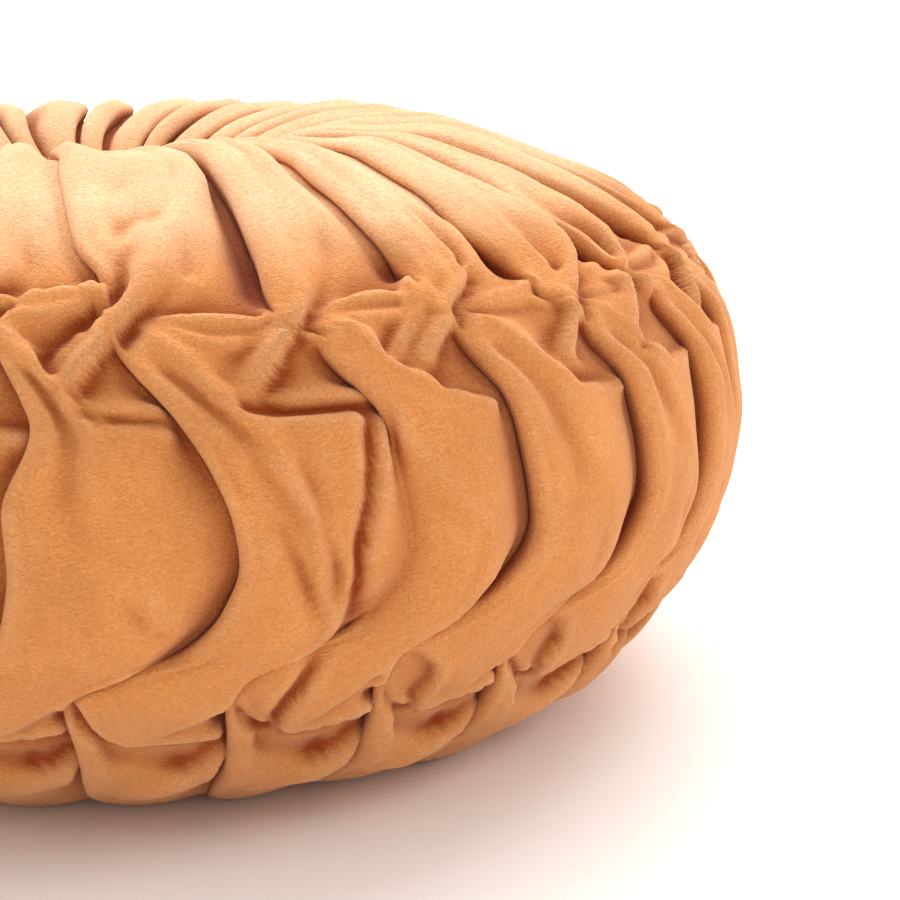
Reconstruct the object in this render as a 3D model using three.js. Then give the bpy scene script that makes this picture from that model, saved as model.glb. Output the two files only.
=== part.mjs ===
// Round pleated cushion: one filled cover gathered into radial folds, and a covered button in
// each of its two dimples. Millimetres and degrees, +Z up, the underside resting on Z = 0.
import * as THREE from 'three';

// Driving sizes
const FOLD_COUNT = 27;
const FIRST_FOLD_AT = -15.6;
const FOLD_PITCH = 360 / FOLD_COUNT;
const FOOT_WIDTH = 0.8;
const DIMPLE_OFFSET = -12;
const OFFSET_FADES_FROM = 40;
const OFFSET_FADES_TO = 84;
const WAIST_HEIGHT = 80;
const SEAT_TOP = 134;
const SEAT_BOTTOM = 22;
const BUTTON_RADIUS = 15;
const BUTTON_BASE_RADIUS = 9;
const BUTTON_THICKNESS = 10;
const BUTTON_STEPS = 24;
const SEWN_GAP = 0.3;

// The outline from the middle of the top to the middle of the underside, a row for each section.
// radius and height place the section. turn and sway place the overlapping edge (lip) of a fold,
// in degrees from its upper knot: turn for every fold alike, sway times the fold's own bulge.
// lip, dip, crown, hollow, blade and foot are the relief across a fold, from its lip to where it
// dives under the next one. crownAt and bladeAt are places across the fold, from 0 to 1.
const SECTION_COLUMNS = [
  'radius', 'height', 'turn', 'sway', 'lip', 'dip', 'crownAt', 'crown', 'hollow', 'bladeAt', 'blade', 'foot',
];
const TOP_GATHER = [
  [13, 134, -3.0, 0.0, 0.0, 0.0, 0.40, 0.0, 0.0, 0.80, 0.0, 0.0],
  [19, 138, -3.0, 0.0, 0.5, 0.2, 0.40, 0.0, -0.6, 0.80, -0.9, -1.6],
  [31, 146, -3.0, 0.0, 1.2, 0.6, 0.42, 0.2, -1.0, 0.80, -1.6, -3.0],
  [47, 156, -3.0, 0.0, 1.0, 0.2, 0.50, 0.4, -1.2, 0.80, -2.0, -5.0],
];
const FOLDED_SIDE = [
  [66, 163.2, -3.0, 0.0, 0.8, -0.6, 0.62, 0.3, -1.4, 0.86, -2.6, -6.5],
  [84, 163.4, -3.0, 0.0, 0.8, -1.0, 0.72, 0.3, -2.0, 0.88, -3.6, -8.0],
  [106, 157.5, -3.0, 0.0, 0.6, -1.4, 0.74, 0.5, -3.0, 0.89, -5.0, -9.5],
  [126, 150.0, -3.0, 0.0, 0.4, -1.4, 0.62, 0.6, -6.0, 0.88, -7.5, -11.0],
  [141, 143.5, -2.8, 0.0, 0.0, -1.2, 0.38, 0.2, -8.5, 0.86, -9.5, -12.0],
  [149, 139.5, -2.0, 0.0, -1.5, -2.0, 0.24, -1.2, -11.0, 0.86, -11.0, -12.0],
  [154, 136.0, -0.8, 0.0, -3.0, -3.0, 0.15, -3.0, -6.5, 0.88, -4.5, -9.0],
  [160, 131.0, -0.4, 0.1, -1.0, -1.6, 0.22, -1.2, -9.5, 0.84, -2.0, -9.0],
  [165, 124.5, -0.2, 0.25, 0.0, -1.0, 0.38, 0.0, -7.0, 0.70, -2.2, -8.5],
  [169.5, 117.0, 0.0, 0.42, 0.6, -0.6, 0.54, 0.0, -3.6, 0.70, -6.0, -9.0],
  [173, 106.0, 0.0, 0.72, 1.0, -0.6, 0.50, 0.6, -1.2, 0.76, -2.6, -9.5],
  [174.6, 94.0, 0.0, 0.93, 0.4, -1.2, 0.48, 0.2, -1.8, 0.78, -3.4, -10.0],
  [174.8, 80.0, 0.0, 1.0, 0.2, -1.0, 0.50, 0.0, -2.0, 0.78, -3.6, -10.0],
  [173.4, 66.0, 0.0, 0.8, 0.2, -0.8, 0.58, 0.0, -2.4, 0.80, -4.0, -9.5],
  [171, 57.5, -0.6, 0.3, 0.4, -0.4, 0.72, 0.2, -3.6, 0.86, -5.0, -8.5],
  [168, 48.5, -4.6, 0.0, -1.6, -3.0, 0.88, 0.4, -4.0, 0.94, -6.0, -7.0],
  [163.5, 40.0, -6.2, 0.0, -1.4, -3.4, 0.66, 0.0, -6.0, 0.86, -6.6, -8.5],
  [159, 33.0, -6.2, 0.0, -0.6, -4.0, 0.28, -5.0, -5.0, 0.88, -5.6, -9.0],
  [154, 26.0, -6.2, 0.0, 0.2, -1.6, 0.30, -4.0, -9.0, 0.86, -8.0, -10.0],
  [146, 17.5, -6.4, 0.0, 0.6, 0.6, 0.34, -0.6, -3.4, 0.82, -5.0, -9.5],
  [133, 8.5, -6.6, 0.0, 0.6, 0.8, 0.40, 0.4, -0.4, 0.82, -1.8, -6.0],
];
const UNDERSIDE = [
  [122, 2.6, -6.6, 0.0, 0.0, 0.0, 0.40, 0.0, 0.0, 0.80, -0.6, -1.6],
  [110, 0.0, -6.6, 0.0, 0.0, 0.0, 0.40, 0.0, 0.0, 0.80, 0.0, 0.0],
  [84, 0.0, -6.6, 0.0, 0.0, 0.0, 0.40, 0.0, 0.0, 0.80, 0.0, 0.0],
  [64, 4.0, -6.6, 0.0, 0.4, 0.2, 0.40, 0.0, -0.8, 0.80, -1.6, -3.0],
  [38, 13.0, -6.6, 0.0, 0.4, 0.2, 0.40, 0.0, -0.6, 0.80, -1.4, -3.0],
  [13, 22.0, -6.6, 0.0, 0.0, 0.0, 0.40, 0.0, 0.0, 0.80, 0.0, 0.0],
];

// The folds, counted towards +X from the one just left of the front, a row for each. shift moves
// a fold's upper knot round the cushion and bulge is how far its edge bows out at mid height,
// both in degrees. lift scales its relief.
const FOLD_COLUMNS = ['shift', 'bulge', 'lift'];
const FOLDS = [
  [-0.4, 4.6, 1.0], [0.0, 8.0, 1.1], [2.0, 3.8, 0.8], [3.4, 3.4, 1.0], [2.1, 6.8, 1.05],
  [1.5, 6.8, 1.0], [1.2, 5.0, 1.0], [0.4, 5.8, 0.95], [-0.8, 4.8, 1.05], [0.6, 6.2, 1.0],
  [-0.4, 5.0, 0.9], [0.9, 4.4, 1.0], [0.2, 6.6, 1.1], [-1.0, 5.4, 0.95], [0.5, 4.6, 1.0],
  [1.0, 6.0, 1.0], [-0.3, 5.2, 0.9], [-0.9, 6.4, 1.05], [0.7, 4.8, 1.0], [0.1, 5.6, 0.95],
  [-0.7, 6.2, 1.1], [0.8, 4.4, 1.0], [0.3, 5.8, 0.9], [-0.6, 5.0, 1.0], [0.6, 6.6, 1.05],
  [-0.2, 4.8, 1.0], [-0.8, 5.6, 0.95],
];

// The lines that run down a fold, in order across it
const FULL = ['lip', 'dip', 'crown', 'fall', 'hollow', 'blade', 'tuck', 'foot'];
const SPARSE = ['lip', 'crown', 'blade', 'foot'];

const radians = THREE.MathUtils.degToRad;

function named(columns, rows) {
  return rows.map((row) => Object.fromEntries(columns.map((name, k) => [name, row[k]])));
}

function mix(a, b, t) {
  return a + (b - a) * t;
}

// Where each line of a fold runs across it, and how far it stands off the outline there
function foldLines(section) {
  const { crownAt, bladeAt, lip, dip, crown, hollow, blade, foot } = section;
  return {
    lip: [0, lip],
    dip: [crownAt * 0.5, dip],
    crown: [crownAt, crown],
    fall: [mix(crownAt, bladeAt, 0.22), mix(crown, hollow, 0.6)],
    hollow: [mix(crownAt, bladeAt, 0.55), hollow],
    blade: [bladeAt, blade],
    tuck: [mix(bladeAt, 1, 0.5), mix(blade, foot, 0.35)],
    foot: [1, foot],
  };
}

// The direction in which a section's relief stands off the outline, as radius and height parts
function outward(sections, k) {
  const before = sections[Math.max(k - 1, 0)];
  const after = sections[Math.min(k + 1, sections.length - 1)];
  const along = [after.radius - before.radius, after.height - before.height];
  const length = Math.hypot(along[0], along[1]);
  return [-along[1] / length, along[0] / length];
}

// The top dimple lies a little off the middle, so the sections near it do too
function centreOf(section) {
  if (section.height < WAIST_HEIGHT) return 0;
  return DIMPLE_OFFSET * (1 - THREE.MathUtils.smoothstep(section.radius, OFFSET_FADES_FROM, OFFSET_FADES_TO));
}

function coverRing(sections, k, folds) {
  const section = sections[k];
  const [outR, outZ] = outward(sections, k);
  const centreX = centreOf(section);
  const lines = foldLines(section);
  const names = section.sparse ? SPARSE : FULL;
  const lipAngles = folds.map((fold, i) => FIRST_FOLD_AT + FOLD_PITCH * i + fold.shift
    + section.turn + section.sway * fold.bulge);
  lipAngles.push(lipAngles[0] + 360);
  const ring = [];
  folds.forEach((fold, i) => {
    const footAngle = lipAngles[i + 1] - FOOT_WIDTH;
    for (const name of names) {
      const [place, relief] = lines[name];
      const angle = radians(mix(lipAngles[i], footAngle, place));
      const stand = relief * fold.lift;
      const radius = section.radius + outR * stand;
      const height = Math.max(section.height + outZ * stand, 0);
      ring.push([centreX + radius * Math.sin(angle), -radius * Math.cos(angle), height]);
    }
  });
  return ring;
}

// Triangles between two rings, where the second may have half as many points as the first
function joinRings(faces, first, second) {
  const { start: a, count: n } = first;
  const { start: b, count: m } = second;
  if (n === m) {
    for (let j = 0; j < n; j += 1) {
      const next = (j + 1) % n;
      faces.push([a + j, b + j, b + next], [a + j, b + next, a + next]);
    }
    return;
  }
  const [fine, coarse, flip] = n > m ? [a, b, false] : [b, a, true];
  const add = (p, q, r) => faces.push(flip ? [p, r, q] : [p, q, r]);
  for (let j = 0; j < Math.min(n, m); j += 1) {
    const nextCoarse = (j + 1) % Math.min(n, m);
    const nextFine = (2 * j + 2) % Math.max(n, m);
    add(fine + 2 * j, coarse + j, fine + 2 * j + 1);
    add(fine + 2 * j + 1, coarse + j, coarse + nextCoarse);
    add(fine + 2 * j + 1, coarse + nextCoarse, fine + nextFine);
  }
}

function coverGeometry() {
  const folds = named(FOLD_COLUMNS, FOLDS);
  const sections = [
    ...named(SECTION_COLUMNS, TOP_GATHER).map((s) => ({ ...s, sparse: true })),
    ...named(SECTION_COLUMNS, FOLDED_SIDE),
    ...named(SECTION_COLUMNS, UNDERSIDE).map((s) => ({ ...s, sparse: true })),
  ];
  const points = [];
  const faces = [];
  const rings = sections.map((section, k) => {
    const ring = coverRing(sections, k, folds);
    const placed = { start: points.length, count: ring.length };
    points.push(...ring);
    return placed;
  });
  for (let k = 0; k + 1 < rings.length; k += 1) joinRings(faces, rings[k], rings[k + 1]);
  const first = rings[0];
  const last = rings[rings.length - 1];
  const topMiddle = points.push([DIMPLE_OFFSET, 0, SEAT_TOP]) - 1;
  const bottomMiddle = points.push([0, 0, SEAT_BOTTOM]) - 1;
  for (let j = 0; j < first.count; j += 1) {
    const next = (j + 1) % first.count;
    faces.push([topMiddle, first.start + j, first.start + next]);
    faces.push([bottomMiddle, last.start + next, last.start + j]);
  }
  const geometry = new THREE.BufferGeometry();
  geometry.setAttribute('position', new THREE.Float32BufferAttribute(points.flat(), 3));
  geometry.setIndex(faces.flat());
  return geometry;
}

// A covered button: flat base, rounded edge and low dome, its base at the origin and dome up
function buttonGeometry() {
  const edgeHeight = BUTTON_THICKNESS * 0.45;
  const profile = [
    new THREE.Vector2(0, 0),
    new THREE.Vector2(BUTTON_BASE_RADIUS, 0),
    new THREE.Vector2(BUTTON_RADIUS * 0.92, edgeHeight * 0.55),
    new THREE.Vector2(BUTTON_RADIUS, edgeHeight),
    new THREE.Vector2(BUTTON_RADIUS * 0.86, mix(edgeHeight, BUTTON_THICKNESS, 0.5)),
    new THREE.Vector2(BUTTON_RADIUS * 0.5, mix(edgeHeight, BUTTON_THICKNESS, 0.88)),
    new THREE.Vector2(0, BUTTON_THICKNESS),
  ];
  return new THREE.LatheGeometry(profile, BUTTON_STEPS).rotateX(Math.PI / 2);
}

function plush(color) {
  return new THREE.MeshStandardMaterial({ color, roughness: 0.85, metalness: 0 });
}

const cover = new THREE.Mesh(coverGeometry(), plush(0xdb9258));
cover.name = 'cover';

const buttonTop = new THREE.Mesh(buttonGeometry(), plush(0xd58b50));
buttonTop.name = 'button_top';
buttonTop.position.set(DIMPLE_OFFSET, 0, SEAT_TOP + SEWN_GAP);

const buttonBottom = new THREE.Mesh(buttonGeometry(), plush(0xd58b50));
buttonBottom.name = 'button_bottom';
buttonBottom.rotation.x = Math.PI;
buttonBottom.position.set(0, 0, SEAT_BOTTOM - SEWN_GAP);

const cushion = new THREE.Group();
cushion.add(cover, buttonTop, buttonBottom);

export default cushion;
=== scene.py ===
"""The pumpkin cushion's looks: the gathered plush cover with its folds, and the two covered buttons.

The cover is one closed mesh of rings. Every ring follows the cushion's outline, and every fold follows
its own lip line down the side. Between two lips the cloth is stretched like a skin over the ridges and
creases that the gathers make, and it rolls over at each lip onto its neighbour.
"""
import math
import bpy
import numpy as np
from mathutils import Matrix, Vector


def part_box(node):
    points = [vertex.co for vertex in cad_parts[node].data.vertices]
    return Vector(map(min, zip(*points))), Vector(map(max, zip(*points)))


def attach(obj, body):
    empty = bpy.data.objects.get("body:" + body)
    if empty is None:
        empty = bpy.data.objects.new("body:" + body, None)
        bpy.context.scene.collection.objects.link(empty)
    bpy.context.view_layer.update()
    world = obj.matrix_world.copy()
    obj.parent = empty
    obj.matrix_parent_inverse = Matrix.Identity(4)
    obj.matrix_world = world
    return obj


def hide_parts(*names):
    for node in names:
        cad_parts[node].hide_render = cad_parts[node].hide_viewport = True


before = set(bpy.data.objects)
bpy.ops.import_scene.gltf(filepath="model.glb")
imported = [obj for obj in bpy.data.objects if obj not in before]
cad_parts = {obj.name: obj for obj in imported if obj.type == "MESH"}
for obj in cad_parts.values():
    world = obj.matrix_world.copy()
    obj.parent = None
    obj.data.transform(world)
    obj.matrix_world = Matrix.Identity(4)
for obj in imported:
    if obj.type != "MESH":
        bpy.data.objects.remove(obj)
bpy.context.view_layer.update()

MM = 0.001

# The gathers: how many folds, the degrees from one knot to the next, and where the knot of fold 0 is.
FOLD_COUNT = 27
PITCH = 360 / FOLD_COUNT
FIRST_KNOT_AT = -15.6

# The fold with the join, and the folds near the camera, which are worked out finely.
SEAM_FOLD = 1
FRONT_FOLDS = [26, 0, 1, 2, 3, 4, 5]
FRONT_COLUMNS = 36
BACK_COLUMNS = 12

# How far the dimple of the top lies off the middle, and the radii between which that fades, in mm.
DIMPLE_OFFSET = -12
OFFSET_FADES = (40, 84)

# The outline, from the top button outwards and down to the bottom button.
# along is the way over the cloth in cm; radius and height are in mm.
OUTLINE = [
    # along, radius, height
    [1.3, 13, 134], [2, 19, 138], [3.4, 31, 146], [5.2, 48, 157.6], [6.1, 57, 161.4], [7.1, 67, 163.6],
    [8.7, 84, 163.2], [10.8, 106, 157.5], [12.9, 126, 150], [14.5, 141, 143.5], [15.5, 149, 139],
    [16.2, 154, 135.5], [17, 160, 130.5], [17.8, 165, 124], [18.7, 169.5, 116.5], [19.8, 173, 106],
    [21, 174.6, 94], [22.4, 174.8, 80], [23.8, 173.4, 66], [24.7, 171, 57.5], [25.7, 168, 48.5],
    [26.6, 163.5, 40], [27.5, 159, 33], [28.4, 154, 26], [29.5, 146, 17.5], [31.1, 133, 8.5],
    [32.3, 122, 2.6], [33.5, 110, 0], [36.1, 84, 0], [38.1, 64, 4], [40.9, 38, 13], [43.6, 13, 22],
]

# The lip line of a fold: degrees from its knot, the share of the fold's own lean at the knot, at the side,
# in the petal and near the middle, then the lip's height, roll and tuck, and the height of the cloth beside
# and under the lip, in mm.
LIP = [
    # along, turn, knot, swing, petal, fan, height, roll, tuck, beside, under
    [1.3, -3.1, .5, 0, 0, .6, 0, .9, .4, -.6, -.8],
    [2, -3.1, .5, 0, 0, .7, .5, 1.1, .7, -1.2, -1.8],
    [3.4, -3.1, .7, 0, 0, .9, .9, 1.7, 1.1, -2.2, -3.2],
    [5.2, -3.1, .9, 0, 0, 1.05, 1.2, 2.3, 1.8, -3.4, -4.8],
    [7.1, -3.1, 1, 0, 0, 1, 1.4, 2.6, 2.6, -4.4, -6],
    [9, -3.1, 1, 0, 0, .75, 1.4, 2.8, 3, -5.2, -7],
    [11.2, -3.1, 1, 0, 0, .42, 1.2, 3, 3.2, -6.2, -8.2],
    [13.3, -3.1, 1, 0, 0, .18, .9, 3, 3.4, -7.6, -9.8],
    [14.5, -3.1, 1, 0, 0, 0, .6, 2.8, 3, -8.4, -10.4],
    [15, -3, 1, 0, 0, 0, .4, 2.6, 2.4, -7, -8.6],
    [15.4, -2.95, 1, 0, 0, 0, .4, 2.2, 1.8, -4.4, -5.6],
    [15.7, -2.85, 1, 0, 0, 0, .5, 1.8, .9, -2.4, -3],
    [15.95, -2.65, 1, 0, 0, 0, 1.1, 1.3, -.4, -.8, -1],
    [16.15, -2.5, 1, 0, 0, 0, 1.7, 1, -.9, .9, .9],
    [16.45, -2.25, 1, 0, 0, 0, 2, 1, -.9, 1.9, 1.9],
    [16.65, -2, 1, 0, 0, 0, .6, 1, -.9, 1.3, 1.3],
    [16.8, -1.75, 1, 0, 0, 0, -1.4, 1, -.4, -1.2, -1.4],
    [16.95, -1.5, .96, 0, 0, 0, -1.3, 1.2, .4, -3.4, -3.8],
    [17.2, -1.1, .9, .01, 0, 0, -.5, 1.6, 1.2, -4.4, -5.4],
    [17.6, -.5, .78, .07, 0, 0, .2, 2.1, 1.8, -4.6, -6.2],
    [18, -.2, .6, .2, 0, 0, .6, 2.4, 2.2, -4.6, -6.4],
    [18.8, 0, .35, .45, 0, 0, 1, 2.8, 2.8, -4.8, -6.8],
    [19.8, 0, .1, .72, 0, 0, 1.3, 3, 3.2, -4.6, -6.8],
    [21.2, 0, 0, .95, 0, 0, 1.6, 3.2, 3.4, -4.6, -7],
    [22.2, 0, 0, 1, 0, 0, 1.5, 3.2, 3.4, -4.8, -7.2],
    [23.3, 0, 0, .84, 0, 0, 1, 3, 3.2, -5.2, -7.4],
    [24.1, 0, 0, .62, 0, 0, .3, 2.6, 2.8, -5.2, -7.2],
    [24.6, -.3, 0, .42, 0, 0, -.6, 2.2, 2, -4.2, -5.8],
    [24.9, -1, 0, .14, .1, 0, -2, 1.6, .8, -1.4, -2],
    [25.2, -2.8, 0, .02, .3, 0, -2.8, 1.2, .3, .5, .2],
    [25.6, -5, 0, 0, .6, 0, -3.2, 1.1, .2, .9, .6],
    [26, -6, 0, 0, .9, 0, -2.6, 1.2, .3, .4, .2],
    [26.3, -6.3, 0, 0, 1, 0, -1.6, 1.8, 1.2, -3.4, -4.6],
    [26.8, -6.2, 0, 0, 1, 0, -.4, 2.2, 2, -5.2, -6.8],
    [27.5, -6, 0, 0, 1, 0, .4, 2.5, 2.6, -6.4, -8.4],
    [28.5, -5.9, 0, 0, 1, 0, .8, 2.8, 2.8, -6.4, -8.4],
    [29.6, -6.2, 0, 0, 1, 0, .6, 2.6, 2.4, -5.2, -7],
    [31.1, -6.6, 0, 0, 1, 0, .3, 2, 1.5, -3, -4],
    [32.3, -6.6, 0, 0, 1, 0, 0, 1.3, .8, -1, -1.5],
    [33.5, -6.6, 0, 0, 1, 0, 0, 1, .4, 0, 0],
    [36.1, -6.6, 0, 0, 1, 0, 0, 1, .4, 0, 0],
    [38.1, -6.6, 0, 0, 1, 0, .3, 1.6, 1, -1.6, -2.4],
    [40.9, -6.6, 0, 0, 1, 0, .3, 1.3, .8, -1.4, -2],
    [43.6, -6.6, 0, 0, 1, 0, 0, .8, .3, -.4, -.5],
]

# Where a fold curls, the band across runs up over its lip: the share of the change, and its values.
CURL = [
    # along, share, height, roll, tuck, beside, under
    [14.5, 0, 0, 1.4, .6, -3.4, -4.2],
    [14.78, 1, -1.8, 1.2, .3, -3, -3.8],
    [14.95, 1, .9, 1, -.9, .9, .9],
    [15.25, 1, .8, 1, -.9, .8, .8],
    [15.5, 1, -1.6, 1, -.9, -1.6, -1.6],
    [15.65, 1, -2.4, 1, -.9, -2.8, -2.8],
    [15.85, .8, .6, 1.2, -.4, -3, -3.4],
    [16.1, 0, 1.9, 1, -.9, .9, .9],
]

# Each fold's own lean: degrees added over the top, at the knot, at the side, in the lower petal and,
# fanned out, near the middle. deep: how deep the cloth lies beside its lip on top. stand: how far its lip
# stands off at the side. pit: the hollow left of its blade. split: a flap left of its tube.
# edge: how sharply its tube ends on the right. drop: how much lower its knot sits, in cm.
# band: how much lower its band across runs, in cm. curl: the band before it curls over its lip.
FOLDS = [
    # top, knot, swing, petal, fan, deep, stand, pit, split, edge, drop, band, curl
    [0, 0, 4.1, 0, -12, 1, 1, 1, .5, .6, 0, 0, 0],
    [-1, .8, 8.1, 0, -12.4, .4, 1, 1, 0, .2, 0, .25, 1],
    [.4, 2.3, 8.9, .1, -1, 1.15, .8, .3, 0, 1, .15, -.15, 0],
    [-.3, 3.5, 7.1, -.1, -1.6, .5, 1.05, .9, 0, .7, .2, .05, 0],
    [-1.6, 4.8, 8.6, -.4, -1, .3, 1, .4, .9, .5, .65, .1, 0],
    [-1.6, 5.5, 8.4, 3, 0, .8, 1, .8, .6, .8, .5, -.2, 0],
    [-1, 5, 7, 2, .6, .8, .95, 1, 0, .4, .4, .1, .3],
    [0, 4, 6.5, 1, 1, 1, 1.05, .7, .8, 1, .3, -.3, 0],
    [.4, 3, 5.6, 0, .6, .7, 1, 1, .3, .3, .1, .1, 0],
    [-.4, 2, 6.2, .5, -.4, 1, .9, .9, 0, .9, .2, 0, 0],
    [.6, 1, 5, -.4, .8, .8, 1, .6, .7, .5, -.1, .2, 0],
    [-.5, .3, 6.4, .6, -1, 1.1, 1.1, 1.1, .2, .8, .1, -.4, .4],
    [.3, -.6, 5.4, -.6, .5, .7, .95, .8, 1, .2, .3, .1, 0],
    [.7, .5, 6.8, .2, 1.2, .9, 1, 1, 0, 1, 0, -.1, 0],
    [-.6, -.4, 4.6, -.3, -.8, 1, 1.05, .7, .5, .6, .2, .2, 0],
    [.2, .6, 6, .5, 0, .6, .9, 1, .8, .3, -.1, -.3, 0],
    [-.3, -.5, 5.2, 0, -1.2, .9, 1, .9, 0, .9, .1, 0, 0],
    [.5, .4, 6.6, -.5, .7, 1.1, 1.1, .6, .4, .5, .3, .1, .4],
    [-.7, -.3, 4.8, .4, -.5, .8, .95, 1.1, 1, .8, 0, -.2, 0],
    [.1, .7, 5.8, -.2, .4, 1, 1, .8, .2, .2, .2, .2, 0],
    [.4, -.6, 6.4, .6, 1, .7, 1.05, 1, .6, 1, .1, -.1, 0],
    [-.4, .2, 4.6, -.6, -.6, .9, .9, .7, 0, .6, -.1, .1, 0],
    [.6, .5, 5.8, .1, -1.5, 1.1, 1, 1, .9, .3, .3, -.4, 0],
    [-.2, -.7, 5, .4, -3, .8, 1.05, .9, .3, .9, .1, 0, .3],
    [.3, .3, 6.6, -.4, -5, .6, .95, .6, 0, .5, .2, .2, 0],
    [-.5, -.2, 5, .3, -7, 1, 1, 1.1, .7, .8, 0, -.2, 0],
    [.2, .4, 5.6, -.2, -9.5, .9, 1.05, .8, .4, .4, .1, .1, 0],
]

# The front folds' own places. start: degrees further right where the side panel starts. gap: mm deeper
# there for each degree. early: cm higher where the tube crosses the lip. wide: degrees further left above
# that. low: cm higher for the turn to the petal. fades: how far the lip fades at the side.
SHIFTS = {
    # fold: start, gap, early, wide, low, fades
    0: [4.2, .5, 0, 0, 0, 0],
    2: [2, 1.4, 0, 0, .3, 1],
    3: [.7, 1.4, .7, 0, .55, 0],
    4: [1, 1.4, .75, 1.7, .2, 0],
    5: [1, 1.4, 0, 2, 0, 0],
}
GAP_AT = 16.68
GAP_WIDTH = .11

# A faded lip: its height, roll and tuck, and the cloth beside and under it, in mm.
FADED = {"height": -3, "roll": 1, "tuck": -.9, "beside": -3, "under": -3}

# Where a change of the lips comes in and over how far, and where it goes out and over how far, in cm.
FELT = {
    "drop": [14, 1.4, 17.8, 2.2],
    "early": [14.2, .8, 15.9, .6],
    "start": [16.45, .4, 18.6, 2.4],
    "wide": [11, 2.5, 16.4, .9],
    "low": [22.8, 1, 25, 1.2],
    "fades": [18.4, 1.6, 23.8, .7],
    "side": [18.6, .8, 23.8, .8],
}

# The ridges and creases in every fold. place runs from this fold's lip, 0, to the next one's, 1. along is
# in cm and height in mm.
RIDGES = {
    # place, along, height
    "top tube": [[.46, 3.4, .8], [.44, 5.2, 1.6], [.42, 7.1, 2.4], [.4, 9, 2.8], [.38, 11, 2.8],
        [.35, 12.8, 2.6], [.3, 14.2, 2.6], [.25, 15, 2.5], [.195, 15.6, 2.4], [.11, 15.95, 2.3],
        [.055, 16.25, 2.2], [0, 16.5, 2.1]],
    "next knot's blade": [[1, 16.45, 2.1], [.95, 16.75, 2.1], [.84, 17.05, 2], [.72, 17.4, 1.6],
        [.6, 17.75, .8], [.52, 18.05, -.6]],
    "band, upper ridge": [[.24, 16, -2.2], [.36, 15.98, -.8], [.58, 15.92, -.1], [.78, 15.88, -.6],
        [.93, 15.85, -2.4]],
    "band, lower ridge": [[.23, 16.15, -2.6], [.4, 16.5, -.8], [.6, 16.6, -.7], [.76, 16.45, -1.2],
        [.88, 16.25, -2.4]],
    "panel, start": [[.06, 17.1, -.4], [.12, 16.87, 0], [.2, 16.6, 0], [.25, 16.36, -.6]],
    "panel, upper edge": [[.24, 16.2, -.9], [.28, 16.6, .5], [.36, 17.3, 1.1], [.42, 18.05, 1.4],
        [.48, 18.6, 1.2], [.56, 18.8, .7], [.76, 18.95, -.4], [.97, 19.05, -1.2]],
    "panel, lip tube": [[.07, 17.3, .2], [.1, 17.7, .9], [.12, 18.3, 1.3], [.13, 19, 1.8], [.14, 20.2, 2.3],
        [.14, 21.5, 2.4], [.13, 23, 2], [.14, 24, 1.2], [.16, 24.8, .5]],
    "panel, crest": [[.36, 18.8, 1.4], [.4, 19.8, 2], [.46, 20.8, 2.4], [.54, 21.7, 2.3], [.62, 22.6, 1.9],
        [.7, 23.5, 1.3], [.8, 24.3, .6]],
    "leaf, left edge": [[.03, 24.9, -1], [.1, 25, -.2], [.235, 25.2, .6], [.31, 25.4, 1], [.38, 25.65, 1.2],
        [.42, 26.2, 1.3], [.38, 26.8, 1.1], [.38, 27.25, .5]],
    "leaf, lower edge": [[.96, 25, .6], [.97, 25.7, 1.2], [.91, 26, 1.4], [.81, 26.3, 1.5], [.7, 26.55, 1.4],
        [.58, 26.8, 1.2], [.48, 27.05, .9], [.4, 27.3, .5]],
    "petal's flap": [[.42, 27.36, .2], [.54, 27.22, .2], [.69, 27.12, .2], [.85, 27, .1],
        [.97, 26.9, -.4]],
    "rounded flap": [[.04, 25.95, -1.6], [.14, 26.4, -1.2], [.24, 27, -1.1], [.28, 27.16, -1.6]],
    "petal, lip tube": [[.1, 26.75, -.6], [.13, 27.3, .8], [.15, 28, 1.5], [.16, 29.2, 1.6], [.2, 30.4, .8]],
    "petal's lobe": [[.14, 30.2, .8], [.28, 30, 1.8], [.49, 29.75, 2.5], [.72, 29.35, 2.5], [.86, 29, 1.4],
        [.97, 28.6, -.8]],
}
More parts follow.
